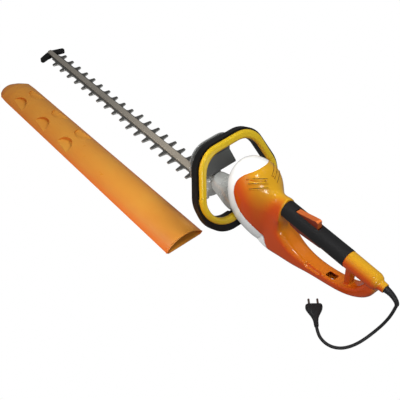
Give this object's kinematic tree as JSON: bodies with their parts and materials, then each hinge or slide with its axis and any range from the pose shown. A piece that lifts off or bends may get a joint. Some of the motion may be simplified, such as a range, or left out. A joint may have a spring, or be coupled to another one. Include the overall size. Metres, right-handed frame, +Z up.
{
  "type": "hedge trimmer",
  "caption": "Corded hedge trimmer with a double-sided toothed cutter bar, gear head, hand guard, looped front handle, rear bow handle, mains lead and plug, and a blade scabbard beside it.",
  "frame": {"origin": "on the crank axis at the flat underside of the gear cover, on the floor", "axes": "+X along the cutter bar towards the rear handle, +Y to the right of the tool, +Z up"},
  "size_m": [1.2605, 0.325, 0.2121],
  "materials": {
    "blade_steel": "dark ground steel",
    "bar_steel": "brushed",
    "zinc_steel": "satin",
    "cast_alloy": "cast, satin",
    "core_steel": "matt",
    "copper_wire": "satin",
    "bush_bronze": "satin",
    "black_plastic": "matt",
    "white_plastic": "gloss",
    "orange_plastic": "gloss",
    "trigger_plastic": "satin",
    "yellow_plastic": "gloss",
    "grip_rubber": "matt",
    "cord_rubber": "satin",
    "plug_pin_metal": "nickel plated",
    "guard_plastic": "smoke grey, gloss",
    "scabbard_plastic": "gloss"
  },
  "bodies": {
    "trimmer": {"guide_bar": "bar_steel", "blade_bolts": "zinc_steel", "blade_washers": "zinc_steel", "tip_guard": "black_plastic", "tip_guard_screw": "zinc_steel", "gear_housing": "cast_alloy", "gear_cover": "cast_alloy", "gear_cover_screws": "zinc_steel", "bar_screws": "zinc_steel", "crank_bushes": "bush_bronze", "front_bearing": "zinc_steel", "rear_bearing": "zinc_steel", "stator_core": "core_steel", "field_coils": "copper_wire", "motor_frame": "black_plastic", "motor_screws": "zinc_steel", "suppression_capacitor": "black_plastic", "brush_holders": "bush_bronze", "carbon_brushes": "core_steel", "brush_springs": "zinc_steel", "motor_housing": "white_plastic", "handle_shell_left": "orange_plastic", "handle_shell_right": "orange_plastic", "housing_screws": "zinc_steel", "grip_sleeve": "grip_rubber", "trigger_pin": "zinc_steel", "trigger_spring": "zinc_steel", "lockout_pin": "zinc_steel", "lockout_spring": "zinc_steel", "switch_module": "black_plastic", "cable_clamp": "black_plastic", "cable_boot": "cord_rubber", "mains_cord": "cord_rubber", "plug_body": "cord_rubber", "plug_pins": "plug_pin_metal", "loop_frame": "black_plastic", "loop_cover": "yellow_plastic", "loop_screws": "zinc_steel", "foot_screws": "zinc_steel", "bar_guide_pins": "zinc_steel", "front_switch": "black_plastic", "hand_guard": "guard_plastic", "guard_screws": "zinc_steel"},
    "rotor": {"rotor_shaft": "zinc_steel", "cooling_fan": "black_plastic", "armature_core": "core_steel", "armature_winding": "copper_wire", "commutator": "copper_wire", "drive_pinion": "zinc_steel"},
    "crank": {"crank_shaft": "zinc_steel", "crank_gear": "zinc_steel"},
    "upper_blade_body": {"upper_blade": "blade_steel"},
    "lower_blade_body": {"lower_blade": "blade_steel"},
    "trigger_body": {"trigger": "trigger_plastic"},
    "lockout_body": {"lockout_lever": "trigger_plastic"},
    "switch_bar_body": {"switch_bar": "yellow_plastic"},
    "scabbard_body": {"scabbard": "scabbard_plastic"}
  },
  "joints": [
    {"name": "rotor_spin", "type": "hinge", "parent": "trimmer", "child": "rotor", "pos_m": [0, 0, 0.062], "axis": [1, 0, 0], "range_deg": [0, 900.7]},
    {"name": "crank_turn", "type": "hinge", "parent": "trimmer", "child": "crank", "pos_m": [0, 0, 0], "axis": [0, 0, 1], "range_deg": [0, 180.14]},
    {"name": "upper_blade_slide", "type": "slide", "parent": "trimmer", "child": "upper_blade_body", "axis": [-1, 0, 0], "range_m": [0, 0.014]},
    {"name": "lower_blade_slide", "type": "slide", "parent": "trimmer", "child": "lower_blade_body", "axis": [1, 0, 0], "range_m": [0, 0.01401]},
    {"name": "trigger_pull", "type": "hinge", "parent": "trimmer", "child": "trigger_body", "pos_m": [0.283, 0, 0.135], "axis": [0, -1, 0], "range_deg": [0, 6], "stiffness_Nm_per_rad": 1.2, "deforming": ["trigger_spring"]},
    {"name": "lockout_press", "type": "hinge", "parent": "trimmer", "child": "lockout_body", "pos_m": [0.301, 0, 0.157], "axis": [0, 1, 0], "range_deg": [0, 7], "stiffness_Nm_per_rad": 0.6, "deforming": ["lockout_spring"]},
    {"name": "switch_bar_squeeze", "type": "slide", "parent": "trimmer", "child": "switch_bar_body", "axis": [-0.9063, 0, -0.4226], "range_m": [0, 0.0025], "stiffness_N_per_m": 4000},
    {"name": "scabbard_draw", "type": "slide", "parent": "trimmer", "child": "scabbard_body", "axis": [-1, 0, 0], "range_m": [0, 0.72]}
  ],
  "couplings": [
    {"joint": "rotor_spin", "follows": "upper_blade_slide", "rad_per_m": 1122},
    {"joint": "crank_turn", "follows": "upper_blade_slide", "rad_per_m": 224.4},
    {"joint": "lower_blade_slide", "follows": "upper_blade_slide", "ratio": 1}
  ]
}
